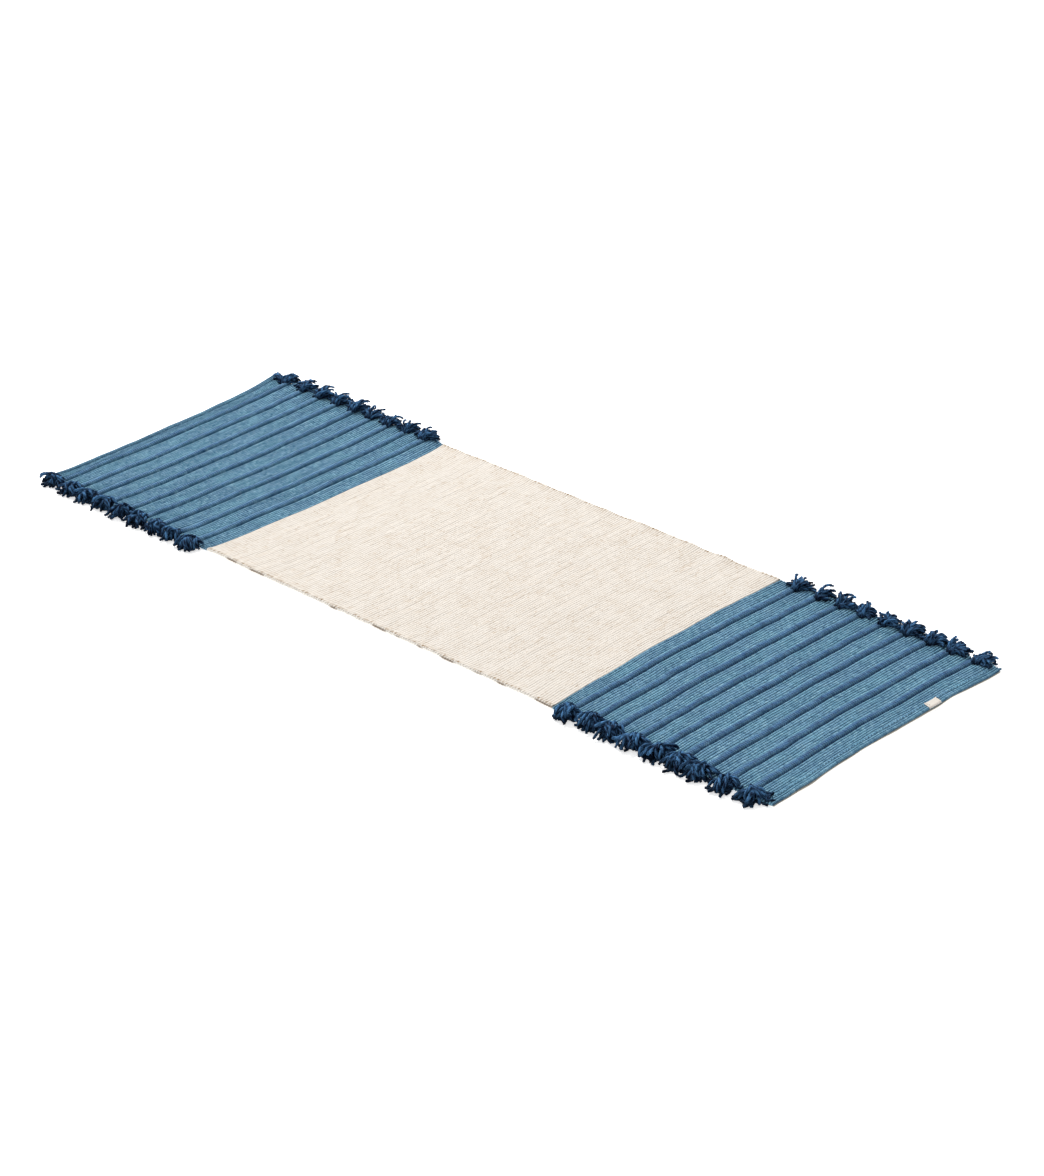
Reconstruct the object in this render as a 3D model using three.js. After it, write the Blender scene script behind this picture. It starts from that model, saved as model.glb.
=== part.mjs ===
// A flat-woven cotton runner rug. A cream centre lies between two light-blue ends, and each end has nine
// raised ribs. A rib is a bundle of thick navy yarn woven into the cloth, and the bundle comes out of both
// long edges of the rug as a bushy tassel. The ends fold over the centre along a narrow band of plain cloth.
// Millimetres. +X runs along the rug, +Y across it towards the back edge, and +Z up. The origin is the
// centre of the underside.
import * as THREE from "three";

// Cloth
const RUG_LENGTH = 2000;
const RUG_WIDTH = 650;
const END_LENGTH = 535; // a blue end, from the cream to the short edge
const CLOTH_THICKNESS = 5;
const FOLD_WIDTH = 16; // the band of an end, next to the cream, that stands upright when the end is folded
const GAP = 0.3; // between pieces that meet

// Ribs
const RIB_COUNT = 9; // in each end
const INNER_MARGIN = 45; // from the cream to the middle of the first rib
const OUTER_MARGIN = 62; // from the middle of the last rib to the short edge
const BUNDLE_WIDTH = 10;
const BUNDLE_HEIGHT = 6.4;
const RIB_WALL = 1.2; // the cloth round a bundle
const ELLIPSE_POINTS = 12;

// Tassels
const TASSEL_LENGTH = 44;
const TASSEL_SPACING = 10; // between the tips of neighbouring tassels
const TASSEL_HEIGHT = 18;
const TASSEL_SIDES = 10;
const TASSEL_STEPS = 4;

// Label, sewn on the right end's hem
const LABEL_WIDTH = 32; // along the short edge
const LABEL_DEPTH = 20;
const LABEL_THICKNESS = 0.6;
const LABEL_OFFSET = 141; // from the rug's middle line to the label's middle

// Worked out from the sizes above
const HALF_LENGTH = RUG_LENGTH / 2;
const HALF_WIDTH = RUG_WIDTH / 2;
const CREAM_HALF = HALF_LENGTH - END_LENGTH;
const RIB_PITCH = (END_LENGTH - INNER_MARGIN - OUTER_MARGIN) / (RIB_COUNT - 1);
const BUNDLE = { x: BUNDLE_WIDTH / 2, z: BUNDLE_HEIGHT / 2 };
const CHANNEL = { x: BUNDLE.x + GAP, z: BUNDLE.z + GAP };
const RIB = { x: CHANNEL.x + RIB_WALL, z: CHANNEL.z + RIB_WALL };
const BUNDLE_CENTRE_Z = RIB.z;

const creamCotton = { color: 0xeee6da, roughness: 0.95, metalness: 0 };
const blueCotton = { color: 0x5d8199, roughness: 0.92, metalness: 0 };
const navyYarn = { color: 0x1c3c5c, roughness: 0.88, metalness: 0 };
const labelTape = { color: 0xefeae2, roughness: 0.8, metalness: 0 };

function piece(name, geometry, finish) {
  const mesh = new THREE.Mesh(geometry, new THREE.MeshStandardMaterial(finish));
  mesh.name = name;
  return mesh;
}

// Part of an ellipse about (x, z), as points at equal steps of angle.
function arc(x, z, half, from, to, steps) {
  return Array.from({ length: steps + 1 }, (_, i) => {
    const angle = from + ((to - from) * i) / steps;
    return new THREE.Vector2(x + half.x * Math.cos(angle), z + half.z * Math.sin(angle));
  });
}

// A whole ellipse, without its first point again at the end.
function ellipse(x, z, half) {
  return arc(x, z, half, 0, 2 * Math.PI, ELLIPSE_POINTS).slice(0, -1);
}

// A profile in X and Z becomes a solid as wide as the rug.
function acrossTheRug(profile) {
  const geometry = new THREE.ExtrudeGeometry(profile, {
    depth: RUG_WIDTH,
    bevelEnabled: false,
  });
  geometry.rotateX(Math.PI / 2);
  return geometry.translate(0, HALF_WIDTH, 0);
}

function slab(fromX, toX) {
  const geometry = new THREE.BoxGeometry(toX - fromX, RUG_WIDTH, CLOTH_THICKNESS);
  return geometry.translate((fromX + toX) / 2, 0, CLOTH_THICKNESS / 2);
}

const ribX = (rib) => CREAM_HALF + INNER_MARGIN + rib * RIB_PITCH;

// The cloth of an end beyond its fold band. Its top rises over each bundle, and the bundle's channel runs
// through it from edge to edge.
function ribbedPanel() {
  const meets = Math.asin((CLOTH_THICKNESS - BUNDLE_CENTRE_Z) / RIB.z);
  const inner = CREAM_HALF + FOLD_WIDTH + GAP;
  const profile = new THREE.Shape();
  profile.moveTo(inner, 0);
  profile.lineTo(inner, CLOTH_THICKNESS);
  for (let rib = 0; rib < RIB_COUNT; rib++) {
    const over = arc(ribX(rib), BUNDLE_CENTRE_Z, RIB, Math.PI - meets, meets, ELLIPSE_POINTS / 2);
    over.forEach((point) => profile.lineTo(point.x, point.y));
    profile.holes.push(new THREE.Path(ellipse(ribX(rib), BUNDLE_CENTRE_Z, CHANNEL)));
  }
  profile.lineTo(HALF_LENGTH, CLOTH_THICKNESS);
  profile.lineTo(HALF_LENGTH, 0);
  return acrossTheRug(profile);
}

function bundle(rib) {
  return acrossTheRug(new THREE.Shape(ellipse(ribX(rib), BUNDLE_CENTRE_Z, BUNDLE)));
}

// A tassel leaves the edge as a neck of the bundle's own section and spreads until it rests on the floor.
function tassel(rib, edge) {
  const tip = { x: (RIB_PITCH - TASSEL_SPACING) / 2, z: TASSEL_HEIGHT / 2 };
  const geometry = new THREE.CylinderGeometry(1, 1, 1, TASSEL_SIDES, TASSEL_STEPS);
  const place = geometry.attributes.position;
  for (let i = 0; i < place.count; i++) {
    const along = place.getY(i) + 0.5;
    const spread = Math.sin((along * Math.PI) / 2);
    const half = {
      x: THREE.MathUtils.lerp(BUNDLE.x, tip.x, spread),
      z: THREE.MathUtils.lerp(BUNDLE.z, tip.z, spread),
    };
    const underside = (BUNDLE_CENTRE_Z - BUNDLE.z) * (1 - spread);
    place.setXYZ(
      i,
      place.getX(i) * half.x,
      along * TASSEL_LENGTH,
      underside + half.z * (1 + place.getZ(i)),
    );
  }
  if (edge < 0) geometry.rotateZ(Math.PI);
  return geometry.translate(ribX(rib), edge * (HALF_WIDTH + GAP), 0);
}

// One end, laid along +X. The left end is the same end turned half a turn about the rug's centre.
function ribbedEnd(side, turn) {
  const end = new THREE.Group();
  end.rotation.z = turn;
  end.add(
    piece(`${side}_fold_band`, slab(CREAM_HALF + GAP, CREAM_HALF + FOLD_WIDTH), blueCotton),
    piece(`${side}_end_panel`, ribbedPanel(), blueCotton),
  );
  const backEdge = turn ? -1 : 1;
  for (let rib = 0; rib < RIB_COUNT; rib++) {
    const number = rib + 1;
    end.add(
      piece(`${side}_rib_bundle_${number}`, bundle(rib), navyYarn),
      piece(`${side}_back_tassel_${number}`, tassel(rib, backEdge), navyYarn),
      piece(`${side}_front_tassel_${number}`, tassel(rib, -backEdge), navyYarn),
    );
  }
  return end;
}

function label() {
  const geometry = new THREE.BoxGeometry(LABEL_DEPTH, LABEL_WIDTH, LABEL_THICKNESS);
  return geometry.translate(
    HALF_LENGTH - LABEL_DEPTH / 2,
    LABEL_OFFSET,
    CLOTH_THICKNESS + GAP + LABEL_THICKNESS / 2,
  );
}

const rug = new THREE.Group();
rug.add(
  piece("centre_panel", slab(-CREAM_HALF, CREAM_HALF), creamCotton),
  ribbedEnd("left", Math.PI),
  ribbedEnd("right", 0),
  piece("label", label(), labelTape),
);

export default rug;
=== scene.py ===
"""A flat-woven cotton runner rug, laid out on a pale floor.

The cloth is modelled row by row: every weft row is a low crown between two grooves, and each end has nine
ribs, rows swollen by a bundle of thick navy yarn. At both long edges each bundle ends in a tassel of
twisted yarn. Sizes are in millimetres in the flat cloth's own coordinates, u along the rug
and v across it, and laid() turns a place on the flat cloth into a place on the floor.
"""

import math
import random
from collections import namedtuple

import bmesh
import bpy
import numpy as np
from mathutils import Matrix, Vector


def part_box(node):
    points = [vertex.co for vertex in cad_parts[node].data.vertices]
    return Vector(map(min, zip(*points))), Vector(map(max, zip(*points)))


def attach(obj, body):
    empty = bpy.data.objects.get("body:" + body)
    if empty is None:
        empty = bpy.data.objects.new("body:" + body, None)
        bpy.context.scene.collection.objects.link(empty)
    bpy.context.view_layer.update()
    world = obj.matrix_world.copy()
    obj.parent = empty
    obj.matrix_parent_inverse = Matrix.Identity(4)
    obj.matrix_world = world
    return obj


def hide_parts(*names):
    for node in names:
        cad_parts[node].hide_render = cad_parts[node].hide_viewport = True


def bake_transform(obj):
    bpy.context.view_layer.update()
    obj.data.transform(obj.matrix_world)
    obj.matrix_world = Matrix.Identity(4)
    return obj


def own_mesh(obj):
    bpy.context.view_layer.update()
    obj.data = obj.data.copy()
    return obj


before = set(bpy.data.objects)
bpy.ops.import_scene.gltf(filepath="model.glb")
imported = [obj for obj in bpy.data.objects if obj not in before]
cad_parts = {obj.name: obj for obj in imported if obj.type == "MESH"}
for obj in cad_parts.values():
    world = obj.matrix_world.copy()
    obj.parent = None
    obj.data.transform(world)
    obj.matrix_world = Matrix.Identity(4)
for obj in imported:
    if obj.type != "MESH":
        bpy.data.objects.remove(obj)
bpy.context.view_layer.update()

MM = 0.001


def box_mm(node):
    """A CAD node's lowest and highest corners, in millimetres."""
    return [Vector(corner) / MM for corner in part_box(node)]


# The frame's own sizes, in millimetres
_, CENTRE_HIGH = box_mm("centre_panel")
END_LOW, END_HIGH = box_mm("right_end_panel")
LABEL_LOW, LABEL_HIGH = box_mm("label")
BUNDLE_LOW, BUNDLE_HIGH = box_mm("right_rib_bundle_1")
TASSEL_LOW, _ = box_mm("right_back_tassel_1")
NEXT_TASSEL_LOW, _ = box_mm("right_back_tassel_2")
HALF_WIDTH = CENTRE_HIGH.y
THICK = CENTRE_HIGH.z
CREAM_END = CENTRE_HIGH.x
HALF_LENGTH = END_HIGH.x
FIRST_RIB = (BUNDLE_LOW.x + BUNDLE_HIGH.x) / 2
RIB_PITCH = NEXT_TASSEL_LOW.x - TASSEL_LOW.x
RIB_COUNT = 9
RIB_TOP = END_HIGH.z
LABEL_MIDDLE = (LABEL_LOW.y + LABEL_HIGH.y) / 2
LABEL_DEPTH = LABEL_HIGH.x - LABEL_LOW.x
LABEL_WIDTH = LABEL_HIGH.y - LABEL_LOW.y

# Cloth
RIB_ZONE = 16.0  # the width of cloth that a rib lifts
ROWS_BETWEEN_RIBS = 6
ROWS_BEFORE_FIRST_RIB = 6
ROWS_AFTER_LAST_RIB = 9
COLUMNS_PER_ROW = 4
COLUMNS_PER_RIB = 10
COLUMNS_PER_CREAM_ROW = 3
CENTRE_CUT = 441.0  # the centre piece ends here, clear of the folds
CREAM_ROWS_PAST_CUT = 4
CENTRE_ROWS = 142
WARP_PITCH = 5.1
BLUE_GROOVE = 1.15
CREAM_GROOVE = 0.35
EDGE_RADIUS = 2.6
CENTRE_LINE_SPACING = 9.5  # between the lines of points along the rug
END_LINE_SPACING = 5.5
EDGE_LINES = (0.0, 0.35, 1.0, 2.0, 3.6, 6.2)  # distances from the long edge
HEM_WIDTH = 19.0
HEM_RISE = 1.3
HEM_TAPE_WIDTH = 17.0
HEM_TAPE_INSET = 4.0  # how far the tape stops short of each long edge
HEM_TAPE_THICKNESS = 0.9
STITCH_PITCH = 8.0
STITCH_LENGTH = 5.2
THREAD_RADIUS = 0.5
THREAD_SIDES = 6
THREAD_STEPS = 6
LABEL_THICKNESS = 0.7
LABEL_SKEW = 0.3
LABEL_TURN_DOWN = 2.0
LABEL_STITCHES = 4  # along each short side

# Folds: each end turns about two lines, a fold's width apart
FIRST_FOLD = CREAM_END
SECOND_FOLD = END_LOW.x
BETWEEN_FOLDS = (FIRST_FOLD + SECOND_FOLD) / 2

# Tassels
STRANDS = 60
STRAND_RADIUS = 2.4
STRAND_SIDES = 6
STRAND_STEPS = 18
STRAND_TURN = 15.0  # one turn of the twist
TASSEL_TOP = 24.5
CORNER_SPILL = 6.0  # how far the tassel next to a corner of the rug lies over towards it
CORNER_LEAN = 24.0
YARN_SPECULAR = 0.08
BUNDLE_SIDES = 10
BUNDLE_STEPS = 56
BUNDLE_INSET = 12.0  # how far inside the long edges a bundle turns into its tassels' strands

Manner = namedtuple("Manner", "lean fan rise least_fall most_fall depth aside reach curl thickness")
# How the strands of a tassel lie, for each side and edge: their lean towards +X, widest fan, steepest rise
# and fall in degrees, then how far inside the long edge and to the +X side of the rib they start, and how
# far beyond the edge they would reach if they lay straight, how much they curl, and how thick they are
TASSEL_MANNERS = {
    ("left", 1): Manner(-8, 72, 60, 15, 75, 22, -3, 33, 1.1, 1.05),
    ("right", 1): Manner(14, 74, 58, 15, 75, 19, 6, 34, 1.2, 1.1),
    ("left", -1): Manner(-2, 76, 66, 45, 118, 10, -3, 53, 1.7, 1.2),
    ("right", -1): Manner(26, 68, 80, 50, 122, 19, 5, 52, 2.0, 1.25),
}

# How the laid cloth has shifted along the rug, as constant, s, s squared and s to the fourth, where s runs
# from -1 at the near edge to 1 at the far one
LAID_SHIFT = (
    (-1000.0, (26.0, -9.0, 0.0, -17.0)),
    (-938.0, (4.0, -1.0, -8.0, 0.0)),
    (-510.0, (2.0, 4.0, -9.0, 0.0)),
    (-465.0, (5.5, 7.0, 0.0, -14.0)),
    (465.0, (-6.0, -6.5, 9.5, 0.0)),
    (510.0, (-7.0, 0.0, 6.0, 0.0)),
    (938.0, (-6.0, 0.0, 6.0, 0.0)),
    (1000.0, (-10.0, 0.0, 11.0, 0.0)),
)


# ---------------------------------------------------------------- the laid cloth


def ripple(u, v, seed, length, across=1.0):
    """Smooth noise from about -1 to 1 with features about length long in u and length * across in v."""
    dice = random.Random(seed)
    total = 0.0
    for _ in range(7):
        angle = dice.uniform(0, math.tau)
        step = dice.uniform(0.7, 1.5) * math.tau / length
        phase = dice.uniform(0, math.tau)
        total = total + np.sin(step * (u * math.cos(angle) + v / across * math.sin(angle)) + phase)
    return total / 3.5


def shift_along(u, s):
    places = [place for place, _ in LAID_SHIFT]
    terms = np.array([term for _, term in LAID_SHIFT])
    constant, linear, square, fourth = (np.interp(u, places, terms[:, i]) for i in range(4))
    return constant + linear * s + square * s**2 + fourth * s**4


def rib_wave(u):
    """1 on the middle of a rib and 0 half-way between two, and 0 on the cream."""
    past = np.abs(u) - FIRST_RIB
    wave = 0.5 + 0.5 * np.cos(math.tau * past / RIB_PITCH)
    return wave * np.clip((np.abs(u) - CREAM_END) / 20, 0, 1)


def between_ribs(u):
    return (1 - rib_wave(u)) * np.clip((np.abs(u) - CREAM_END - 12) / 20, 0, 1)


def laid(u, v):
    """Where a place on the flat cloth lies on the floor, and how far the cloth is lifted off it there."""
    s = v / HALF_WIDTH
    from_edge = HALF_WIDTH - np.abs(v)
    near = np.exp(-from_edge / 25)
    x = u + shift_along(u, s)
    x = x + 1.1 * ripple(u * 0.35, v, 11, 170) + 0.5 * ripple(u, v, 18, 75)
    number = np.rint((np.abs(u) - FIRST_RIB) / RIB_PITCH) + 20 * (u > 0)
    x = x + rib_wave(u) ** 2 * 1.3 * ripple(number * 91, v, 17, 105)
    y = v + 3.2 - 0.9 * (s + 1) * u / HALF_LENGTH
    pull = 4.2 * rib_wave(u) - 2.0 * between_ribs(u) + 1.3 * ripple(u, v * 0, 12, 150)
    pull = pull + (np.abs(u) < CREAM_END) * 0.9 * ripple(u, np.sign(v) * 50, 19, 62)
    y = y - np.sign(v) * near * pull
    pucker = between_ribs(u) * (5.2 + 1.6 * ripple(u, np.sign(v) * 40, 13, 90))
    pucker = pucker + (np.abs(u) < CREAM_END) * (0.5 + 1.3 * ripple(u, np.sign(v) * 60, 20, 85))
    lift = near * np.maximum(pucker, 0)
    lift = lift + 0.5 + 0.5 * ripple(u, v, 14, 240)
    right_hem = np.exp(-(HALF_LENGTH - u) / 13)
    lift = lift + right_hem * (2.3 + 1.1 * ripple(v * 0, v, 15, 200))
    left_hem = np.exp(-(HALF_LENGTH + u) / 16)
    lift = lift + left_hem * (0.7 + 0.6 * ripple(v * 0, v, 16, 160))
    return x, y, np.maximum(lift, 0)


def cloth_surface(u, v, row, rib, top):
    """The height of the cloth's top or underside. row counts weft rows, and rib is 0 to 1 across a rib."""
    from_edge = HALF_WIDTH - np.abs(v)
    near = np.exp(-from_edge / 26)
    blue = np.abs(u) >= CREAM_END - 0.01
    crown = np.abs(np.sin(np.pi * row)) ** 0.65
    groove = np.where(blue, BLUE_GROOVE * (1 + 1.7 * near), CREAM_GROOVE)
    sag = ripple(u, v, 21, 60, 2.5)
    number = np.floor(row + 1e-4)
    uneven = 0.22 * ripple(number * 37.0, v, 22, 120)
    flat = THICK + 0.25 * sag + uneven
    hem = np.clip((np.abs(u) - HALF_LENGTH + HEM_WIDTH) / 1.5, 0, 1)
    crease = np.exp(-(((np.abs(u) - HALF_LENGTH + HEM_WIDTH) / 1.6) ** 2))
    cord = np.exp(-(((from_edge - 4.5) / 3.0) ** 2)) * np.where(blue, 0.3, 1.3)
    height = flat + cord - groove * (1 - crown) + hem * HEM_RISE - crease * 0.9
    # A rib stands in the cloth and runs out just inside the long edges, where its tassel comes up
    inside = np.clip((from_edge - 3) / 13, 0, 1)
    inside = inside * inside * (3 - 2 * inside)
    across = np.abs(2 * rib - 1)
    arch = np.clip(1 - across**2.3, 0, 1) ** 0.55
    lump = 1 + 0.15 * ripple(u * 0.2, v, 23, 36) + 0.08 * ripple(u, v, 24, 14)
    swollen = flat - groove + (RIB_TOP - THICK + groove) * arch * lump * (0.25 + 0.75 * inside)
    height = np.where(rib > 0, swollen, height)
    if not top:
        height = 0.4 * (1 - crown) * (rib <= 0)
    middle = THICK / 2
    turn = np.clip(1 - from_edge / EDGE_RADIUS, 0, 1)
    end_turn = np.clip(1 - (HALF_LENGTH - np.abs(u)) / EDGE_RADIUS, 0, 1)
    rounded = np.sqrt(np.clip(1 - np.maximum(turn, end_turn) ** 2, 0.02, 1))
    return middle + (height - middle) * rounded


def selvedge_loops(u, v, row):
    """Each weft row turns back at the long edge in a small round loop."""
    from_edge = HALF_WIDTH - np.abs(v)
    loop = np.abs(np.sin(np.pi * row)) ** 0.7
    return np.sign(v) * np.exp(-from_edge / 2.5) * (1.3 * loop - 0.8)


def end_columns():
    """The places along an end, from the centre piece's cut outwards, as (u, row, place across the rib)."""
    columns = []
    row = 0

    def rows(start, stop, count):
        nonlocal row
        for step in range(count * COLUMNS_PER_ROW):
            part = step / (count * COLUMNS_PER_ROW)
            columns.append((start + (stop - start) * part, row + step / COLUMNS_PER_ROW, 0.0))
        row += count

    def rib(start):
        nonlocal row
        for step in range(COLUMNS_PER_RIB):
            part = step / COLUMNS_PER_RIB
            columns.append((start + RIB_ZONE * part, row + part, part))
        row += 1

    rows(CENTRE_CUT, CREAM_END, CREAM_ROWS_PAST_CUT)
    rows(CREAM_END, FIRST_RIB - RIB_ZONE / 2, ROWS_BEFORE_FIRST_RIB)
    for number in range(RIB_COUNT):
        start = FIRST_RIB + number * RIB_PITCH - RIB_ZONE / 2
        rib(start)
        if number < RIB_COUNT - 1:
            rows(start + RIB_ZONE, start + RIB_PITCH, ROWS_BETWEEN_RIBS)
    last = FIRST_RIB + (RIB_COUNT - 1) * RIB_PITCH + RIB_ZONE / 2
    rows(last, HALF_LENGTH, ROWS_AFTER_LAST_RIB)
    for from_end in (1.2, 0.35):
        columns.append((HALF_LENGTH - from_end, row - from_end / 6, 0.0))
    columns.append((HALF_LENGTH, float(row), 0.0))
    return columns


def centre_columns():
    count = CENTRE_ROWS * COLUMNS_PER_CREAM_ROW
    return [
        (-CENTRE_CUT + 2 * CENTRE_CUT * i / count, i / COLUMNS_PER_CREAM_ROW, 0.0)
        for i in range(count + 1)
    ]


def lines_across(spacing):
    inner = HALF_WIDTH - EDGE_LINES[-1]
    count = round(2 * inner / spacing)
    middle = [-inner + 2 * inner * i / count for i in range(1, count)]
    near = [-HALF_WIDTH + d for d in EDGE_LINES]
    far = [HALF_WIDTH - d for d in reversed(EDGE_LINES)]
    return near + middle + far


def woven_sheet(name, columns, lines, finishes):
    """A closed sheet of cloth from a grid with one line of points for each column and each line across."""
    bm = bmesh.new()
    bmesh.ops.create_grid(bm, x_segments=len(columns) - 1, y_segments=len(lines) - 1, size=1.0)
    bmesh.ops.solidify(bm, geom=bm.faces[:], thickness=0.5)
    mesh = mesh_from(bm, name)
    co = points_of(mesh)
    i = np.rint((co[:, 0] + 1) / 2 * (len(columns) - 1)).astype(int)
    j = np.rint((co[:, 1] + 1) / 2 * (len(lines) - 1)).astype(int)
    top = np.abs(co[:, 2]) < 0.25
    table = np.array(columns)
    u, row, rib = table[i, 0], table[i, 1], table[i, 2]
    v = np.array(lines)[j]
    x, y, lift = laid(u, v)
    y = y + selvedge_loops(u, v, row)
    height = np.where(top, cloth_surface(u, v, row, rib, True), cloth_surface(u, v, row, rib, False))
    place = np.stack([x, y, height + lift], axis=1) * MM
    mesh.vertices.foreach_set("co", place.ravel())
    add_cloth_data(mesh, u, v, row, rib)
    for finish in finishes:
        mesh.materials.append(finish)
    if len(finishes) > 1:
        colour_past_cream(mesh, u)
    face_out(mesh)
    return mesh


def colour_past_cream(mesh, u):
    """Faces that reach past the cream take the second finish."""
    starts = np.empty(len(mesh.polygons), int)
    mesh.polygons.foreach_get("loop_start", starts)
    furthest = np.maximum.reduceat(np.abs(u)[corners_of(mesh)], starts)
    mesh.polygons.foreach_set("material_index", (furthest > CREAM_END + 0.01).astype(np.int32))


def mesh_from(bm, name):
    mesh = bpy.data.meshes.new(name)
    bm.to_mesh(mesh)
    bm.free()
    return mesh


def points_of(mesh):
    co = np.empty(len(mesh.vertices) * 3)
    mesh.vertices.foreach_get("co", co)
    return co.reshape(-1, 3)


def corners_of(mesh):
    """The vertex at each corner of each face."""
    corners = np.empty(len(mesh.loops), int)
    mesh.loops.foreach_get("vertex_index", corners)
    return corners


def add_cloth_data(mesh, u, v, row, rib):
    """The flat cloth's coordinates go on the mesh, for the weave to follow."""
    for name, value in (("row", row), ("rib", rib)):
        layer = mesh.attributes.new(name, "FLOAT", "POINT")
        layer.data.foreach_set("value", value.astype(np.float32))
    corners = corners_of(mesh)
    flat = np.stack([u[corners], v[corners]], axis=1) * MM
    mesh.uv_layers.new(name="cloth").data.foreach_set("uv", flat.ravel())


def face_out(mesh):
    bm = bmesh.new()
    bm.from_mesh(mesh)
    bmesh.ops.recalc_face_normals(bm, faces=bm.faces[:])
    for edge in bm.edges:
        if len(edge.link_faces) == 2 and edge.calc_face_angle(0) > 1.05:
            edge.smooth = False
    for face in bm.faces:
        face.smooth = True
    bm.to_mesh(mesh)
    bm.free()


def add_object(name, mesh):
    obj = bpy.data.objects.new(name, mesh)
    bpy.context.scene.collection.objects.link(obj)
    return obj


def cut_at(mesh, name, x, keep_outer):
    """The part of a sheet on one side of the plane at x, closed where it is cut."""
    bm = bmesh.new()
    bm.from_mesh(mesh)
    geometry = bm.verts[:] + bm.edges[:] + bm.faces[:]
    toward_end = 1 if x > 0 else -1
    cut = bmesh.ops.bisect_plane(
        bm,
        geom=geometry,
        dist=1e-7,
        plane_co=(x * MM, 0, 0),
        plane_no=(toward_end, 0, 0),
        clear_inner=keep_outer,
        clear_outer=not keep_outer,
    )
    edges = [piece for piece in cut["geom_cut"] if isinstance(piece, bmesh.types.BMEdge)]
    open_edges = [edge for edge in edges if edge.is_valid and edge.is_boundary]
    bmesh.ops.holes_fill(bm, edges=open_edges, sides=0)
    for edge in open_edges:
        edge.smooth = False
    part = mesh_from(bm, name)
    for finish in mesh.materials:
        part.materials.append(finish)
    return part


# ---------------------------------------------------------------- materials


COLOUR_A, COLOUR_B, COLOUR_RESULT = 6, 7, 2  # the colour sockets of a Mix node


class Net:
    """Short calls for building a node tree."""

    def __init__(self, tree):
        self.tree = tree

    def node(self, kind, settings=None, **inputs):
        made = self.tree.nodes.new(kind)
        for key, value in (settings or {}).items():
            setattr(made, key, value)
        for key, value in inputs.items():
            self.put(made.inputs[key.replace("_", " ")], value)
        return made

    def put(self, socket, value):
        if isinstance(value, bpy.types.NodeSocket):
            self.tree.links.new(value, socket)
        else:
            socket.default_value = value

    def math(self, operation, first, second=0.0, third=0.0):
        made = self.tree.nodes.new("ShaderNodeMath")
        made.operation = operation
        for socket, value in zip(made.inputs, (first, second, third)):
            self.put(socket, value)
        return made.outputs[0]

    def ramp(self, value, low, high):
        """0 below low, 1 above high and smooth between them."""
        made = self.tree.nodes.new("ShaderNodeMapRange")
        made.interpolation_type = "SMOOTHSTEP"
        for name, number in (("Value", value), ("From Min", low), ("From Max", high)):
            self.put(made.inputs[name], number)
        return made.outputs["Result"]

    def fade(self, value, low, high):
        """1 below low, 0 above high and smooth between them."""
        return self.math("SUBTRACT", 1.0, self.ramp(value, low, high))

    def scaled(self, value, factor, offset=0.0):
        product = self.math("MULTIPLY", value, factor)
        return self.math("ADD", product, offset) if offset else product

    def tint(self, base, mask, share, tone):
        """The base turned towards a tone where the mask is, by at most the share."""
        return self.mix(self.scaled(mask, share), base, tone)

    def mix(self, factor, first, second, blend="MIX"):
        made = self.tree.nodes.new("ShaderNodeMix")
        made.data_type = "RGBA"
        made.blend_type = blend
        self.put(made.inputs["Factor"], factor)
        self.put(made.inputs[COLOUR_A], first)
        self.put(made.inputs[COLOUR_B], second)
        return made.outputs[COLOUR_RESULT]

    def noise(self, vector, scale, detail=2.0, rough=0.5):
        made = self.tree.nodes.new("ShaderNodeTexNoise")
        for name, value in (
            ("Vector", vector),
            ("Scale", scale),
            ("Detail", detail),
            ("Roughness", rough),
        ):
            self.put(made.inputs[name], value)
        return made.outputs["Fac"]

    def join(self, x, y, z=0.0):
        made = self.tree.nodes.new("ShaderNodeCombineXYZ")
        for socket, value in zip(made.inputs, (x, y, z)):
            self.put(socket, value)
        return made.outputs[0]

    def attribute(self, name):
        made = self.tree.nodes.new("ShaderNodeAttribute")
        made.attribute_name = name
        return made.outputs["Fac"]

    def group(self, group, **inputs):
        made = self.tree.nodes.new("ShaderNodeGroup")
        made.node_tree = group
        for key, value in inputs.items():
            self.put(made.inputs[key.replace("_", " ")], value)
        return made.outputs


def colour(red, green, blue):
    """A linear colour from 0 to 255 screen values."""
    parts = []
    for value in (red, green, blue):
        part = value / 255
        parts.append(part / 12.92 if part <= 0.04045 else ((part + 0.055) / 1.055) ** 2.4)
    return (*parts, 1.0)


def new_group(name, inputs, outputs):
    group = bpy.data.node_groups.new(name, "ShaderNodeTree")
    for socket, kind in inputs:
        group.interface.new_socket(name=socket, in_out="INPUT", socket_type=kind)
    for socket, kind in outputs:
        group.interface.new_socket(name=socket, in_out="OUTPUT", socket_type=kind)
    net = Net(group)
    return group, net, net.node("NodeGroupInput").outputs, net.node("NodeGroupOutput").inputs


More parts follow.
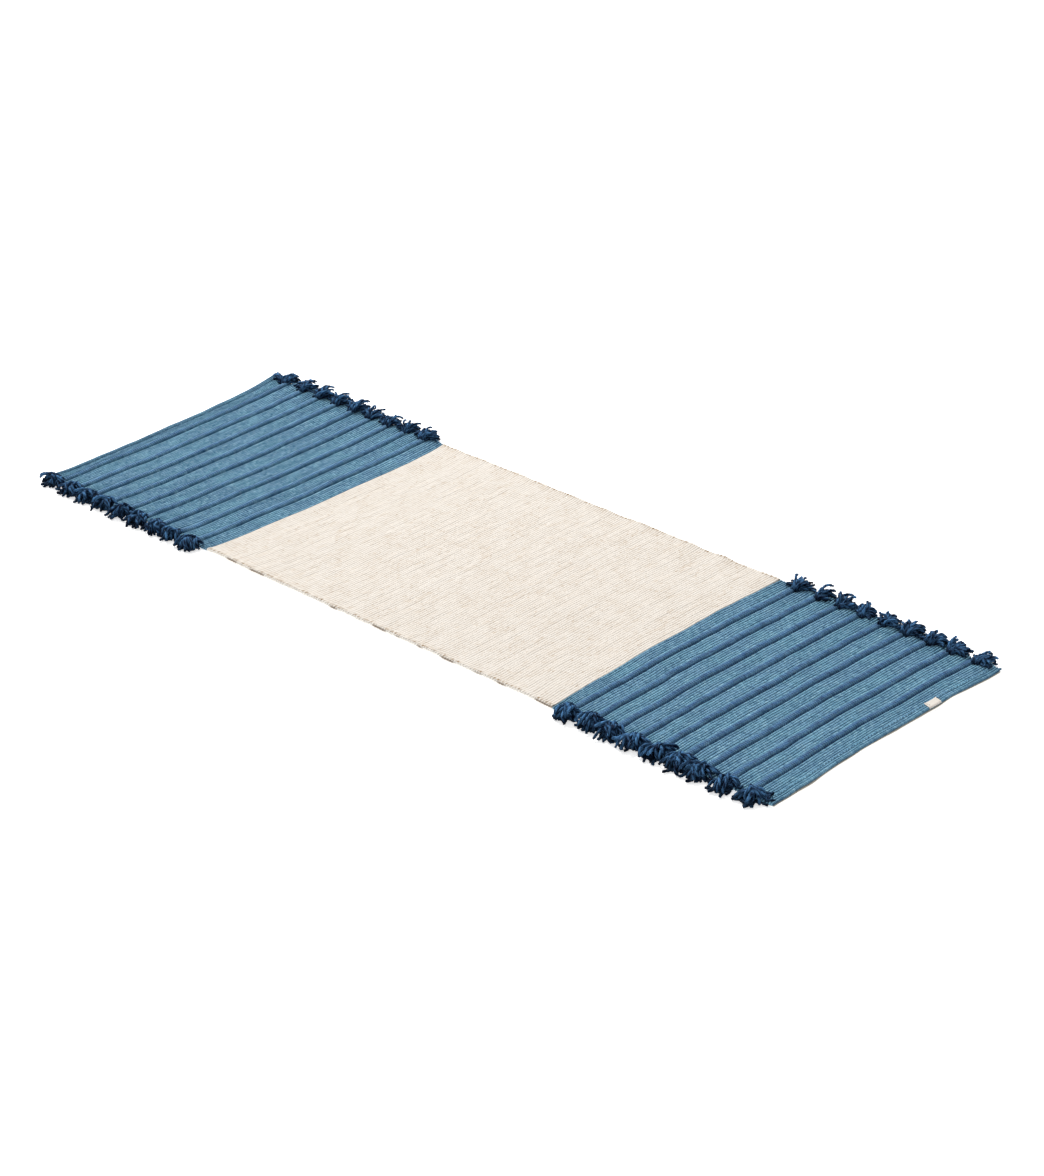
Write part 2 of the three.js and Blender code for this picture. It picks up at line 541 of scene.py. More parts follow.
def weave_group():
    """A plain weave of soft weft rows under fine warp threads.

    Row counts the weft rows, Along is the place along a row, Gap, 0 to 1, is how wide the dark gap between
    two rows opens, and Warp is how deep the warp threads press into the rows.
    """
    group, net, given, out = new_group(
        "plain_weave",
        [
            ("Row", "NodeSocketFloat"),
            ("Along", "NodeSocketFloat"),
            ("Gap", "NodeSocketFloat"),
            ("Warp", "NodeSocketFloat"),
        ],
        [
            ("Groove", "NodeSocketFloat"),
            ("Crossing", "NodeSocketFloat"),
            ("Dash", "NodeSocketFloat"),
            ("Height", "NodeSocketFloat"),
        ],
    )
    part = net.math("FRACT", given["Row"])
    number = net.math("FLOOR", given["Row"])
    in_row = net.join(net.math("MULTIPLY", number, 0.37), given["Along"])
    dash = net.noise(in_row, 105.0, 3.0, 0.7)
    breaks = net.noise(net.join(net.math("MULTIPLY", number, 0.53), given["Along"]), 48.0, 2.0)
    crown = net.math("SINE", net.math("MULTIPLY", part, math.pi))
    groove = net.math("SUBTRACT", 1.0, net.ramp(crown, 0.0, given["Gap"]))
    groove = net.math("MULTIPLY", groove, net.ramp(breaks, 0.22, 0.52))
    warps = net.math("DIVIDE", given["Along"], WARP_PITCH * MM)
    warps = net.math("ADD", warps, net.math("MULTIPLY", dash, 1.6))
    warps = net.math("ADD", warps, net.math("MULTIPLY", number, 0.5))
    wave = net.math("COSINE", net.math("MULTIPLY", warps, math.tau))
    crossing = net.ramp(wave, 0.15, 0.95)
    height = net.math("MULTIPLY", crossing, net.math("MULTIPLY", given["Warp"], -1.0))
    height = net.math("SUBTRACT", height, groove)
    height = net.math("ADD", height, net.math("MULTIPLY", dash, 0.9))
    net.put(out["Groove"], groove)
    net.put(out["Crossing"], crossing)
    net.put(out["Dash"], dash)
    net.put(out["Height"], height)
    return group


def fibre_group():
    """Fine cotton fibres and soft lumps in the yarn."""
    group, net, given, out = new_group(
        "cotton_fibres",
        [("Vector", "NodeSocketVector"), ("Scale", "NodeSocketFloat")],
        [("Height", "NodeSocketFloat"), ("Shade", "NodeSocketFloat"), ("Roughness", "NodeSocketFloat")],
    )
    fine = net.noise(given["Vector"], given["Scale"], 3.0, 0.6)
    soft = net.noise(given["Vector"], net.scaled(given["Scale"], 0.22), 2.0)
    net.put(out["Height"], net.math("ADD", fine, soft))
    net.put(out["Shade"], net.math("ADD", net.scaled(fine, 0.5), net.scaled(soft, 0.5)))
    net.put(out["Roughness"], net.scaled(fine, 0.16, 0.8))
    return group


def new_material(name):
    material = bpy.data.materials.new(name)
    material.use_nodes = True
    material.node_tree.nodes.clear()
    net = Net(material.node_tree)
    shader = net.node("ShaderNodeBsdfPrincipled")
    shader.inputs["Specular IOR Level"].default_value = 0.2
    net.node("ShaderNodeOutputMaterial", Surface=shader.outputs[0])
    return material, net, shader.inputs


def bump(net, height, distance, strength=1.0):
    return net.node("ShaderNodeBump", Height=height, Distance=distance, Strength=strength).outputs[0]


def cloth_inputs(net, weave, fibres, gap, edge_gap, warp):
    """What both cloths read: the flat place and its parts, the weave, the fibres, the distance from the long
    edge, a mask that grows towards that edge, and a speckle."""
    flat = net.node("ShaderNodeUVMap", {"uv_map": "cloth"}).outputs[0]
    parts = net.node("ShaderNodeSeparateXYZ", Vector=flat).outputs
    from_edge = net.math("SUBTRACT", HALF_WIDTH * MM, net.math("ABSOLUTE", parts["Y"]))
    near = net.fade(from_edge, 0.003, 0.050)
    opening = net.math("ADD", gap, net.scaled(near, edge_gap))
    woven = net.group(weave, Row=net.attribute("row"), Along=parts["Y"], Gap=opening, Warp=warp)
    stretched = net.join(net.scaled(parts["X"], 2.0), net.scaled(parts["Y"], 0.8))
    cotton = net.group(fibres, Vector=stretched, Scale=900.0)
    speckle = net.noise(stretched, 95.0, 3.0, 0.7)
    return flat, parts, woven, cotton, from_edge, near, speckle


def row_streaks(net, along, stretch, scale, low, high):
    """Stretches of single weft rows that come out darker."""
    number = net.scaled(net.math("FLOOR", net.attribute("row")), 0.71)
    streak = net.noise(net.join(number, net.scaled(along, stretch)), scale, 2.0)
    return net.fade(streak, low, high)


def shaded(net, base, fibre_shade, contrast, darkest):
    shade = net.scaled(fibre_shade, contrast, darkest)
    return net.mix(1.0, base, net.join(shade, shade, shade), "MULTIPLY")


def selvedge_with_painted_side_shade(net, base, parts, from_edge):
    """The turned loops along the cream's long edges, worn brown in places, and the cloth's side below,
    painted paler against the shade it stands in and, in stretches, painted darker as the shadow under the
    lifted edge.
    """
    edge = net.fade(from_edge, 0.005, 0.0105)
    worn = net.ramp(net.noise(net.join(parts["X"], 0.0), 26.0, 1.0), 0.40, 0.56)
    turn = net.noise(net.join(net.scaled(net.attribute("row"), 0.55), 0.0), 2.6, 1.0)
    loops = net.math("MULTIPLY", net.math("MULTIPLY", edge, net.ramp(from_edge, 0.0018, 0.0034)), worn)
    loops = net.math("MULTIPLY", loops, net.ramp(turn, 0.44, 0.58))
    base = net.mix(loops, base, colour(142, 114, 80))
    pale = net.math("MULTIPLY", edge, net.fade(turn, 0.34, 0.50))
    base = net.tint(base, pale, 0.6, colour(245, 240, 230))
    # Painted light and shadow on the cloth's side: paler than the cloth to offset its shade, and in
    # stretches painted dark as the shadow under the lifted edge
    side = net.fade(from_edge, 0.0004, 0.0022)
    painted_side_shadow = net.ramp(net.noise(net.join(parts["X"], 1.0), 17.0, 1.0), 0.50, 0.58)
    return net.tint(base, side, 0.8, net.mix(painted_side_shadow, colour(250, 246, 238), colour(132, 116, 100)))


def cream_cloth(weave, fibres):
    material, net, shader = new_material("cream_cloth")
    flat, parts, woven, cotton, from_edge, _, speckle = cloth_inputs(net, weave, fibres, 0.6, 0.25, 0.0)
    mottle = net.noise(flat, 16.0, 3.0)
    base = net.mix(net.ramp(mottle, 0.3, 0.7), colour(222, 215, 206), colour(221, 213, 203))
    base = net.tint(base, net.ramp(speckle, 0.52, 0.68), 0.15, colour(204, 190, 170))
    base = net.tint(base, net.ramp(woven["Dash"], 0.52, 0.72), 0.35, colour(234, 228, 219))
    base = net.tint(base, net.fade(woven["Dash"], 0.28, 0.46), 0.35, colour(206, 192, 172))
    patches = net.ramp(net.noise(flat, 20.0, 2.0), 0.40, 0.62)
    # Painted shade in the grooves between the weft rows, in patches
    groove_shade = net.math("MULTIPLY", woven["Groove"], net.scaled(patches, 0.4, 0.12))
    base = net.mix(groove_shade, base, colour(182, 164, 140))
    streak = row_streaks(net, parts["Y"], 0.8, 34.0, 0.30, 0.44)
    base = net.tint(base, streak, 0.2, colour(192, 170, 142))
    fleck_place = net.join(net.scaled(parts["X"], 3.0), net.scaled(parts["Y"], 0.6))
    fleck = net.ramp(net.noise(fleck_place, 150.0, 1.0), 0.60, 0.70)
    fleck = net.math("MULTIPLY", fleck, net.scaled(patches, 0.7, 0.3))
    base = net.tint(base, fleck, 0.6, colour(172, 144, 112))
    base = selvedge_with_painted_side_shade(net, base, parts, from_edge)
    net.put(shader["Base Color"], shaded(net, base, cotton["Shade"], 0.2, 0.9))
    net.put(shader["Roughness"], cotton["Roughness"])
    height = net.math("ADD", woven["Height"], net.scaled(cotton["Height"], 0.3))
    net.put(shader["Normal"], bump(net, height, 0.0006))
    return material


def over_bundle(net, flat, parts, on_left):
    """On a rib the navy bundle shows between the light-blue warp threads that cross it.

    Returns the rib's mask, the threads' mask and the rib's colour.
    """
    across = net.math("ABSOLUTE", net.math("SUBTRACT", net.scaled(net.attribute("rib"), 2.0), 1.0))
    ribbed = net.fade(across, 0.40, 0.90)
    turn = net.math("DIVIDE", parts["Y"], WARP_PITCH * MM / math.tau)
    sway = net.scaled(net.noise(flat, 55.0, 1.0), 4.0)
    hatch = net.math("COSINE", net.math("ADD", net.math("ADD", turn, sway), across))
    threads = net.ramp(hatch, -0.35, 0.75)
    thick_and_thin = net.ramp(net.noise(flat, 90.0, 2.0), 0.35, 0.65)
    roving = net.mix(thick_and_thin, colour(14, 46, 90), colour(34, 78, 128))
    covered = net.ramp(net.noise(flat, 26.0, 3.0), 0.3, 0.7)
    stroke_place = net.join(net.scaled(parts["X"], 0.35), parts["Y"])
    strokes = net.ramp(net.noise(stroke_place, 150.0, 2.0), 0.36, 0.62)
    covered = net.math("ADD", net.scaled(covered, 0.55), net.scaled(strokes, 0.45))
    paler = net.scaled(on_left, 0.2, 0.36)
    cover = net.math("ADD", net.scaled(covered, 0.58), net.math("SUBTRACT", paler, 0.12))
    cover = net.math("MULTIPLY", net.scaled(threads, 0.8, 0.2), cover)
    return ribbed, threads, net.mix(cover, roving, colour(114, 160, 192))


def blue_cloth(weave, fibres):
    material, net, shader = new_material("blue_cloth")
    flat, parts, woven, cotton, _, near, speckle = cloth_inputs(net, weave, fibres, 0.6, 0.35, 0.7)
    mottle = net.noise(flat, 18.0, 3.0)
    base = net.mix(net.ramp(mottle, 0.35, 0.65), colour(116, 166, 190), colour(114, 158, 187))
    base = net.tint(base, net.ramp(speckle, 0.50, 0.66), 0.5, colour(62, 106, 136))
    base = net.tint(base, net.ramp(speckle, 0.50, 0.34), 0.4, colour(140, 184, 206))
    base = net.tint(base, net.ramp(woven["Dash"], 0.50, 0.70), 0.75, colour(152, 194, 213))
    base = net.tint(base, net.fade(woven["Dash"], 0.30, 0.48), 0.75, colour(58, 100, 130))
    on_left = net.math("LESS_THAN", parts["X"], 0.0)
    streak = row_streaks(net, parts["Y"], 0.30, 30.0, 0.40, 0.56)
    streak = net.math("MULTIPLY", streak, net.scaled(on_left, 0.10, 0.22))
    base = net.mix(streak, base, colour(44, 88, 120))
    # Painted shade in the grooves between the weft rows, deeper towards the long edges, and in the dents
    # where the warp threads press in
    groove_shade = net.math("MULTIPLY", woven["Groove"], net.scaled(near, 0.35, 0.64))
    base = net.mix(groove_shade, base, colour(28, 62, 92))
    base = net.tint(base, woven["Crossing"], 0.35, colour(54, 96, 128))
    ribbed, threads, rib_colour = over_bundle(net, flat, parts, on_left)
    base = net.tint(base, ribbed, 0.96, rib_colour)
    net.put(shader["Base Color"], shaded(net, base, cotton["Shade"], 0.5, 0.75))
    net.put(shader["Roughness"], cotton["Roughness"])
    plain = net.math("MULTIPLY", woven["Height"], net.math("SUBTRACT", 1.0, ribbed))
    corded = net.scaled(net.math("MULTIPLY", threads, ribbed), 1.1)
    height = net.math("ADD", net.math("ADD", plain, corded), net.scaled(cotton["Height"], 0.35))
    net.put(shader["Normal"], bump(net, height, 0.0011))
    return material


def navy_yarn(fibres):
    """Twisted yarn. Its UV map runs along the strand and once round it, with the strand's number added."""
    material, net, shader = new_material("navy_yarn")
    shader["Specular IOR Level"].default_value = YARN_SPECULAR
    place = net.node("ShaderNodeUVMap", {"uv_map": "yarn"}).outputs[0]
    parts = net.node("ShaderNodeSeparateXYZ", Vector=place).outputs
    lay = net.math("ADD", net.scaled(parts["X"], 420.0), net.scaled(parts["Y"], math.tau * 2))
    ply = net.math("SINE", lay)
    here = net.node("ShaderNodeTexCoord").outputs["Object"]
    cotton = net.group(fibres, Vector=here, Scale=1500.0)
    strand = net.math("FLOOR", parts["Y"])
    tone_place = net.join(net.scaled(strand, 0.737), net.scaled(parts["X"], 9.0), net.scaled(strand, 0.31))
    tone = net.ramp(net.noise(tone_place, 4.0, 1.0), 0.36, 0.72)
    base = net.mix(tone, colour(6, 24, 54), colour(84, 136, 186))
    # Painted highlight along the crest of each ply and painted shade in the groove between the two plies
    base = net.tint(base, net.ramp(ply, -0.3, 1.0), 0.35, colour(88, 136, 184))
    base = net.tint(base, net.fade(ply, -1.0, -0.3), 0.7, colour(3, 12, 30))
    base = net.tint(base, net.ramp(cotton["Shade"], 0.55, 0.75), 0.3, colour(110, 154, 194))
    # Painted shade: low over the floor, deep in a tassel where shade falls, the yarn is painted darker
    above_floor = net.node("ShaderNodeSeparateXYZ", Vector=here).outputs["Z"]
    base = net.tint(base, net.fade(above_floor, 0.004, 0.020), 0.82, colour(2, 9, 24))
    net.put(shader["Base Color"], base)
    net.put(shader["Roughness"], cotton["Roughness"])
    height = net.math("ADD", net.scaled(ply, 0.6), net.scaled(cotton["Height"], 0.5))
    net.put(shader["Normal"], bump(net, height, 0.0009))
    return material


def cotton_tape(name, fibres, light, dark, pitch):
    """A close twill tape: fine slanting ribs."""
    material, net, shader = new_material(name)
    here = net.node("ShaderNodeTexCoord").outputs["Object"]
    parts = net.node("ShaderNodeSeparateXYZ", Vector=here).outputs
    slant = net.math("ADD", parts["X"], net.scaled(parts["Y"], 0.8))
    twill = net.math("SINE", net.scaled(slant, math.tau / (pitch * MM)))
    cotton = net.group(fibres, Vector=here, Scale=1100.0)
    base = net.mix(net.ramp(twill, -0.6, 0.6), dark, light)
    base = net.tint(base, cotton["Shade"], 0.25, dark)
    net.put(shader["Base Color"], base)
    net.put(shader["Roughness"], cotton["Roughness"])
    height = net.math("ADD", twill, cotton["Height"])
    net.put(shader["Normal"], bump(net, height, 0.00012))
    return material


def plain_floor():
    material, net, shader = new_material("floor_white")
    here = net.node("ShaderNodeTexCoord").outputs["Object"]
    tone = net.ramp(net.noise(here, 3.0), 0.0, 1.0)
    net.put(shader["Base Color"], net.mix(tone, (0.88, 0.88, 0.88, 1), (0.9, 0.9, 0.9, 1)))
    shader["Roughness"].default_value = 0.9
    shader["Emission Color"].default_value = (1.0, 1.0, 1.0, 1.0)
    shader["Emission Strength"].default_value = 0.6
    return material


# ---------------------------------------------------------------- yarn


def tube_template(sides, steps):
    """A unit tube along Z, closed at both ends, which every strand's points are taken from."""
    bm = bmesh.new()
    bmesh.ops.create_cone(
        bm, cap_ends=True, cap_tris=True, segments=sides, radius1=1.0, radius2=1.0, depth=1.0
    )
    for step in range(1, steps):
        bmesh.ops.bisect_plane(
            bm,
            geom=bm.verts[:] + bm.edges[:] + bm.faces[:],
            dist=1e-6,
            plane_co=(0, 0, step / steps - 0.5),
            plane_no=(0, 0, 1),
        )
    bmesh.ops.recalc_face_normals(bm, faces=bm.faces[:])
    for face in bm.faces:
        face.smooth = True
    mesh = mesh_from(bm, "tube_template")
    co = points_of(mesh)
    return {
        "mesh": mesh,
        "steps": steps,
        "along": co[:, 2] + 0.5,
        "round": np.arctan2(co[:, 1], co[:, 0]),
        "out": np.hypot(co[:, 0], co[:, 1]),
    }


def frames_along(path):
    """Two directions square to the path at each point, carried along without twisting."""
    tangent = np.gradient(path, axis=0)
    tangent /= np.linalg.norm(tangent, axis=1)[:, None]
    side = np.cross(tangent[0], (0.0, 0.0, 1.0))
    sides = []
    for direction in tangent:
        side = side - direction * (side @ direction)
        side = side / np.linalg.norm(side)
        sides.append(side)
    sides = np.array(sides)
    return sides, np.cross(tangent, sides)


def strand_points(template, path, radius, turn, phase, flatten=1.0):
    """The template's points laid along a path as a strand of two twisted plies."""
    steps = len(path) - 1
    sides, ups = frames_along(path)
    at = np.rint(template["along"] * steps).astype(int)
    reach = np.concatenate([[0], np.cumsum(np.linalg.norm(np.diff(path, axis=0), axis=1))])
    angle = template["round"]
    lobe = 1 + 0.17 * np.cos(2 * (angle - phase - reach[at] / turn * math.tau))
    tip = np.clip((steps - at) / 1.2, 0.8, 1)
    r = template["out"] * radius * lobe * tip
    place = path[at] + sides[at] * (r * np.cos(angle))[:, None]
    place = place + ups[at] * (r * np.sin(angle) * flatten)[:, None]
    return place, np.stack([reach[at] * MM, angle / math.tau], axis=1)


def yarn_mesh(name, template, strands, finish):
    """One mesh from many strands, each given as (points, place along and round)."""
    bm = bmesh.new()
    for _ in strands:
        bm.from_mesh(template["mesh"])
    mesh = mesh_from(bm, name)
    places = np.concatenate([points for points, _ in strands]) * MM
    mesh.vertices.foreach_set("co", places.ravel())
    flat = np.concatenate([uv for _, uv in strands])
    mesh.uv_layers.new(name="yarn").data.foreach_set("uv", flat[corners_of(mesh)].ravel())
    mesh.materials.append(finish)
    bm = bmesh.new()
    bm.from_mesh(mesh)
    bmesh.ops.recalc_face_normals(bm, faces=bm.faces[:])
    bm.to_mesh(mesh)
    bm.free()
    return mesh


def strand_path(dice, root, outward, manner, lean, edge_y, over_cloth, radius):
    """A strand leaves its root outwards, arches over, spreads and droops, and rests on what is below it."""
    fan = math.radians(lean + dice.uniform(-1, 1) * manner.fan)
    rise = math.radians(dice.uniform(-0.35, 1) * manner.rise)
    fall = math.radians(dice.uniform(manner.least_fall, manner.most_fall))
    length = dice.uniform(0.72, 1.0) * (manner.reach + manner.depth) * (1 - 0.24 * abs(math.sin(fan)))
    bend = dice.uniform(-1, 1) * manner.curl
    wobble = dice.uniform(0, math.tau)
    point = np.array(root, float)
    path = [point.copy()]
    step = length / STRAND_STEPS
    for i in range(STRAND_STEPS):
        part = (i + 0.5) / STRAND_STEPS
        out = min(max((part - 0.06) / 0.4, 0), 1)
        sway = 0.2 * manner.curl * math.sin(8 * part + wobble)
        heading = fan * (0.2 + 0.8 * out) + bend * part * part + sway
        slope = rise - (rise + fall) * part**1.15 + 0.15 * math.sin(7 * part + 2 * wobble)
        flatwise = math.cos(slope)
        point = point + step * np.array(
            [math.sin(heading) * flatwise, outward * math.cos(heading) * flatwise, math.sin(slope)]
        )
        beyond = min(max((outward * (point[1] - edge_y) + 2) / 5, 0), 1)
        floor = (1 - beyond) * over_cloth + radius * 1.3
        if i > 3:
            point[2] = max(point[2], floor)
        point[2] = min(point[2], TASSEL_TOP)
        path.append(point.copy())
    path = np.array(path)
    for _ in range(2):
        path[1:-1] = (path[:-2] + 2 * path[1:-1] + path[2:]) / 4
    path[:, 2] = np.maximum(path[:, 2], radius * 1.3)
    return path


def tassel(name, template, u, edge, manner, finish):
    dice = random.Random(name)
    at = np.array([u, u])
    inside = np.array([HALF_WIDTH - manner.depth, HALF_WIDTH]) * edge
    x, y, lift = laid(at, inside)
    lean = manner.lean + dice.uniform(-14, 14)
    at_corner = abs(u) > HALF_LENGTH - 1.5 * RIB_PITCH
    aside = manner.aside + at_corner * CORNER_SPILL * math.copysign(1, u)
    lean += at_corner * CORNER_LEAN * math.copysign(1, u)
    strands = []
    for number in range(STRANDS):
        angle, out = dice.uniform(0, math.tau), math.sqrt(dice.uniform(0, 1))
        root = (
            x[0] + aside + 9.0 * out * math.cos(angle),
            y[0] + dice.uniform(-2, 7) * edge,
            lift[0] + 6.5 + 3.6 * out * math.sin(angle),
        )
        radius = STRAND_RADIUS * manner.thickness * dice.uniform(0.88, 1.12)
        path = strand_path(dice, root, edge, manner, lean, y[1], lift[1] + THICK, radius)
        turn = STRAND_TURN * dice.uniform(0.85, 1.15)
        points, along = strand_points(template, path, radius, turn, dice.uniform(0, math.tau))
        along[:, 1] = number + 0.5 + along[:, 1] * 0.98
        strands.append((points, along))
    return add_object(name, yarn_mesh(name, template, strands, finish))


def rib_bundle(name, template, u, finish):
    """The bundle inside a rib, as one flattened strand that follows the laid rib from tassel to tassel."""
    v = np.linspace(-HALF_WIDTH + BUNDLE_INSET, HALF_WIDTH - BUNDLE_INSET, template["steps"] + 1)
    x, y, lift = laid(np.full_like(v, u), v)
    middle = (BUNDLE_LOW.z + BUNDLE_HIGH.z) / 2
    path = np.stack([x, y, lift + middle], axis=1)
    half_width = (BUNDLE_HIGH.x - BUNDLE_LOW.x) / 2
    flatten = (BUNDLE_HIGH.z - BUNDLE_LOW.z) / (BUNDLE_HIGH.x - BUNDLE_LOW.x)
    strand = strand_points(template, path, half_width * 0.85, 4 * STRAND_TURN, 0.0, flatten)
    return add_object(name, yarn_mesh(name, template, [strand], finish))


# ---------------------------------------------------------------- hems, label and stitches


def strip(name, across, along, thickness, finish, place):
    """A thin closed strip from a grid: place(a, b, top) gives the point for a and b from 0 to 1."""
    bm = bmesh.new()
    bmesh.ops.create_grid(bm, x_segments=across, y_segments=along, size=1.0)
    bmesh.ops.solidify(bm, geom=bm.faces[:], thickness=0.5)
    for vert in bm.verts:
        a, b = (vert.co.x + 1) / 2, (vert.co.y + 1) / 2
        vert.co = Vector(place(a, b, thickness if abs(vert.co.z) < 0.25 else 0.0)) * MM
    bmesh.ops.recalc_face_normals(bm, faces=bm.faces[:])
    rim = [edge for edge in bm.edges if edge.calc_face_angle(0) > 1.0]
    bmesh.ops.bevel(
        bm,
        geom=rim,
        affect="EDGES",
        offset=thickness * 0.22 * MM,
        segments=1,
        profile=0.5,
        material=-1,
    )
    for face in bm.faces:
        face.smooth = True
    mesh = mesh_from(bm, name)
    mesh.materials.append(finish)
    return add_object(name, mesh)


def cloth_point(u, v):
    x, y, lift = laid(np.array([u]), np.array([v]))
    return float(x[0]), float(y[0]), float(lift[0])


def hem_tape(name, side, finish):
    """The natural cotton tape under a short end. It shows as a thin pale line past the cloth."""

    def place(a, b, rise):
        v = -HALF_WIDTH + HEM_TAPE_INSET + 2 * (HALF_WIDTH - HEM_TAPE_INSET) * b
        show = 1.1 + 1.0 * math.sin(v / 47.0) + 0.7 * math.sin(v / 19.0 + 1)
        x, y, lift = cloth_point(side * HALF_LENGTH, v)
        inner = side * (1 - a) * HEM_TAPE_WIDTH
        return x + side * show - inner, y, 0.15 + rise + 0.6 * max(lift - 1, 0) * a

    return strip(name, 4, 110, HEM_TAPE_THICKNESS, finish, place)


def label(name, finish):
    """A woven label with no words on it, sewn on askew and turned down over the short edge."""

    def place(a, b, rise):
        out = (a - 1) * LABEL_DEPTH + LABEL_TURN_DOWN
        along = (b - 0.5) * LABEL_WIDTH
        v = LABEL_MIDDLE - 2.5 + along - LABEL_SKEW * (out + LABEL_DEPTH / 2)
        x, y, lift = cloth_point(min(HALF_LENGTH + out, HALF_LENGTH), v)
        corner = 0.9 * (abs(2 * b - 1) * (1 - a)) ** 2
        drop = 0.6 * max(out + 1.2, 0)
        return x + max(out, 0) + 0.6, y, lift + THICK + HEM_RISE + 0.25 + rise + corner - drop

    return strip(name, 10, 14, LABEL_THICKNESS, finish, place)


def stitch_line(name, template, ends, lift_by, finish):
    """Short stitches of thread, each a small arch between two points on the flat cloth."""
    strands = []
    for (u1, v1), (u2, v2) in ends:
        part = np.linspace(0, 1, template["steps"] + 1)
        x, y, lift = laid(u1 + (u2 - u1) * part, v1 + (v2 - v1) * part)
        z = lift + lift_by + 0.75 * np.sin(np.pi * part) ** 0.6 - 0.35
        path = np.stack([x, y, z], axis=1)
        strands.append(strand_points(template, path, THREAD_RADIUS, 3.0, 0.0))
    return add_object(name, yarn_mesh(name, template, strands, finish))


def hem_stitches(name, template, side, finish):
    u = side * (HALF_LENGTH - HEM_WIDTH + 4.2)
    count = int((2 * HALF_WIDTH - 30) / STITCH_PITCH)
    starts = [(i - count / 2) * STITCH_PITCH for i in range(count)]
    ends = [((u, start), (u, start + STITCH_LENGTH)) for start in starts]
    return stitch_line(name, template, ends, THICK + HEM_RISE, finish)


def label_stitches(name, template, finish):
    inner = HALF_LENGTH - LABEL_DEPTH + 1.4
    outer = HALF_LENGTH - 2.4
    pitch = (outer - inner) / LABEL_STITCHES
    half = LABEL_WIDTH / 2 - 1.6
    ends = []
    for edge in (-1, 1):
        v = LABEL_MIDDLE + edge * half
        for number in range(LABEL_STITCHES):
            u = inner + pitch * number
            ends.append(((u, v), (u + pitch * 0.6, v)))
    return stitch_line(name, template, ends, THICK + HEM_RISE + 0.9, finish)


# ---------------------------------------------------------------- stage


def add_camera():
    """Stands off the rug's near right corner and looks down along it."""
    azimuth, elevation, roll = (math.radians(angle) for angle in (135.3, 27.77, -1.94))
    forward = Vector(
        (
            math.cos(azimuth) * math.cos(elevation),
            math.sin(azimuth) * math.cos(elevation),
            -math.sin(elevation),
        )
    )
    level = Vector((math.sin(azimuth), -math.cos(azimuth), 0))
    above = level.cross(forward)
    right = level * math.cos(roll) + above * math.sin(roll)
    up = above * math.cos(roll) - level * math.sin(roll)
    data = bpy.data.cameras.new("camera")
    data.lens = 108.15
    data.sensor_width = 36.0
    data.clip_end = 50.0
    camera = bpy.data.objects.new("camera", data)
    turn = Matrix((right, up, -forward)).transposed().to_4x4()
    camera.matrix_world = Matrix.Translation((4.402, -4.2744, 3.1844)) @ turn
    bpy.context.scene.collection.objects.link(camera)
    bpy.context.scene.camera = camera


def add_floor():
    bm = bmesh.new()
    bmesh.ops.create_grid(bm, x_segments=1, y_segments=1, size=14.0)
    mesh = mesh_from(bm, "floor")
    mesh.materials.append(plain_floor())
    add_object("floor", mesh)


def add_light(name, toward, strength, angle):
    data = bpy.data.lights.new(name, "SUN")
    data.energy = strength
    data.angle = math.radians(angle)
    light = bpy.data.objects.new(name, data)
    light.rotation_mode = "QUATERNION"
    light.rotation_quaternion = Vector(toward).to_track_quat("-Z", "Y")
    bpy.context.scene.collection.objects.link(light)


def add_window():
    """A soft window light off the left end, so that the left end is a little brighter than the right."""
    data = bpy.data.lights.new("left_window", "AREA")
    data.shape = "SQUARE"
    data.size = 1.6
    data.energy = 26.0
    light = bpy.data.objects.new("left_window", data)
    light.location = (-2.3, 1.1, 1.7)
    light.rotation_mode = "QUATERNION"
    light.rotation_quaternion = Vector((1.5, -0.9, -1.7)).to_track_quat("-Z", "Y")
    bpy.context.scene.collection.objects.link(light)


def add_stage():
    world = bpy.data.worlds.new("studio")
    world.use_nodes = True
    background = world.node_tree.nodes["Background"]
    background.inputs["Color"].default_value = (1.0, 1.0, 1.0, 1.0)
    background.inputs["Strength"].default_value = 0.45
    bpy.context.scene.world = world
    bpy.context.scene.view_settings.view_transform = "Standard"
    add_light("window", (0.72, -0.42, -0.80), 3.1, 16)
    add_light("fill", (-0.45, 0.6, -0.7), 0.15, 60)
    add_window()
    add_floor()


# ---------------------------------------------------------------- the rug


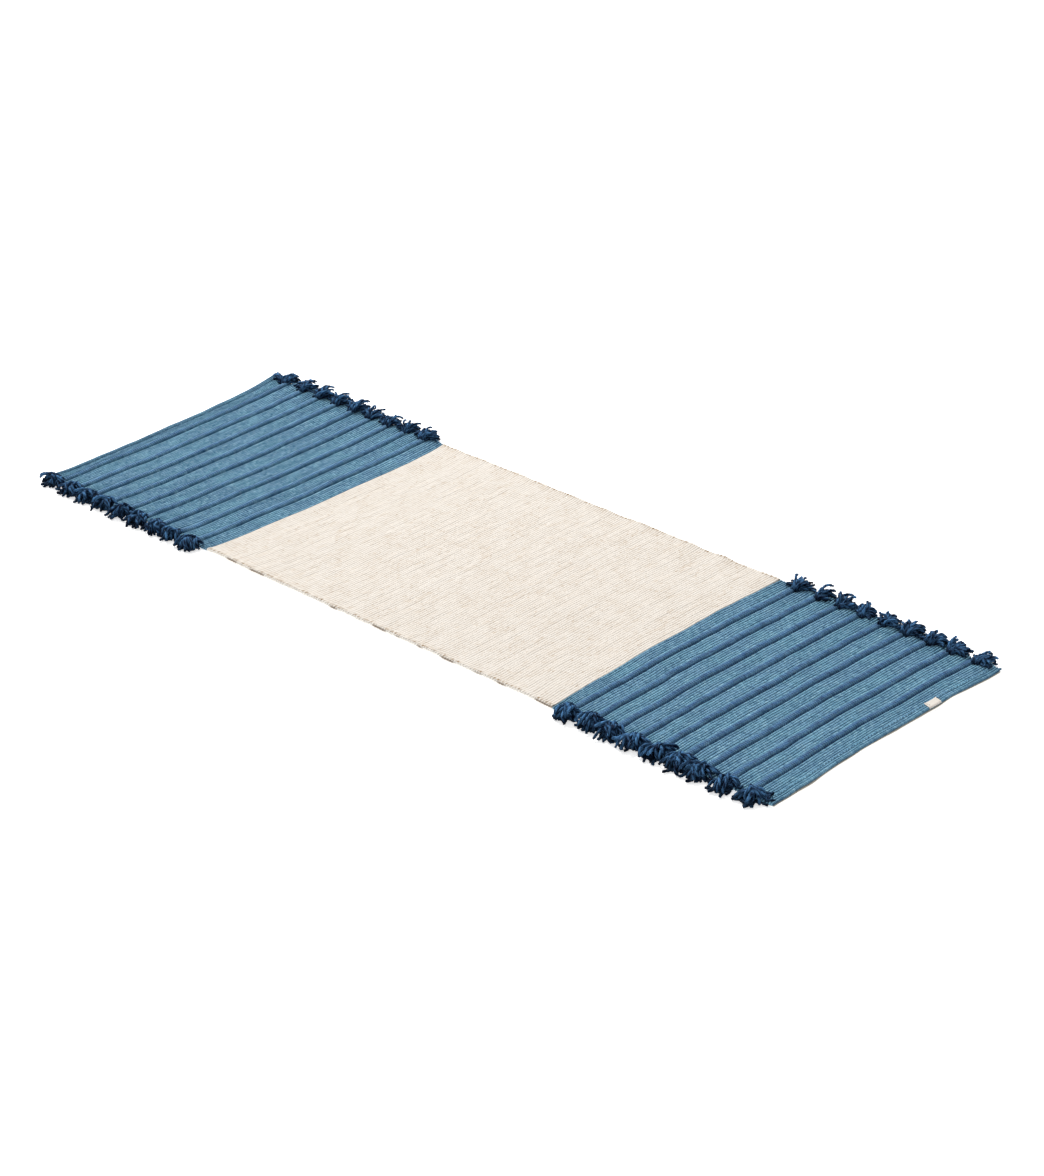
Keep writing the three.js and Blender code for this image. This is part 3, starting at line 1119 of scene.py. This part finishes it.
def build_cloth(cream, blue):
    """The centre piece, and for each end its fold's cloth and its own. Returns the two ends' cloths."""
    sheet = woven_sheet("centre_cloth", centre_columns(), lines_across(CENTRE_LINE_SPACING), [cream])
    centre = add_object("centre_cloth", sheet)
    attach(centre, "centre")
    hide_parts("centre_panel")
    ends = {}
    for side, sign in (("left", -1), ("right", 1)):
        columns = [(sign * u, row, rib) for u, row, rib in end_columns()]
        if sign < 0:
            columns.reverse()
        whole = woven_sheet(side + "_whole", columns, lines_across(END_LINE_SPACING), [cream, blue])
        cut = sign * BETWEEN_FOLDS
        fold = add_object(side + "_fold_cloth", cut_at(whole, side + "_fold_cloth", cut, False))
        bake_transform(fold)
        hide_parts(side + "_fold_band")
        end = add_object(side + "_end_cloth", cut_at(whole, side + "_end_cloth", cut, True))
        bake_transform(end)
        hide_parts(side + "_end_panel")
        bpy.data.meshes.remove(whole)
        ends[side] = end
    return ends


def build_rug():
    weave, fibres = weave_group(), fibre_group()
    navy = navy_yarn(fibres)
    ends = build_cloth(cream_cloth(weave, fibres), blue_cloth(weave, fibres))
    strand = tube_template(STRAND_SIDES, STRAND_STEPS)
    long_tube = tube_template(BUNDLE_SIDES, BUNDLE_STEPS)
    thread = tube_template(THREAD_SIDES, THREAD_STEPS)
    natural = cotton_tape("natural_tape", fibres, colour(240, 235, 226), colour(206, 196, 180), 1.6)
    white = cotton_tape("white_tape", fibres, colour(246, 241, 234), colour(222, 212, 200), 0.9)
    tan = cotton_tape("tan_thread", fibres, colour(166, 142, 116), colour(120, 98, 76), 0.7)
    sewing = cotton_tape("blue_thread", fibres, colour(96, 140, 170), colour(60, 98, 128), 0.7)
    for side, sign in (("left", -1), ("right", 1)):
        body = side + "_end"
        on_cloth = []
        for number in range(1, RIB_COUNT + 1):
            u = sign * (FIRST_RIB + (number - 1) * RIB_PITCH)
            node = f"{side}_rib_bundle_{number}"
            bundle = rib_bundle(node.replace("rib", "navy"), long_tube, u, navy)
            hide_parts(node)
            on_cloth.append((bundle, "navy_yarn"))
            for edge_name, edge in (("back", 1), ("front", -1)):
                node = f"{side}_{edge_name}_tassel_{number}"
                made = tassel(node + "_yarn", strand, u, edge, TASSEL_MANNERS[side, edge], navy)
                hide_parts(node)
                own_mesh(made)
                on_cloth.append((made, "navy_yarn"))
        tape = hem_tape(side + "_hem_tape", sign, natural)
        on_cloth.append((tape, "label_tape"))
        on_cloth.append((hem_stitches(side + "_hem_stitches", thread, sign, sewing), "blue_cotton"))
        if sign > 0:
            tag = label("blank_label", white)
            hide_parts("label")
            on_cloth.append((tag, "label_tape"))
            on_cloth.append((label_stitches("label_stitches", thread, tan), "label_tape"))
        for piece, slot in on_cloth:
            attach(piece, body)


add_camera()
add_stage()
build_rug()
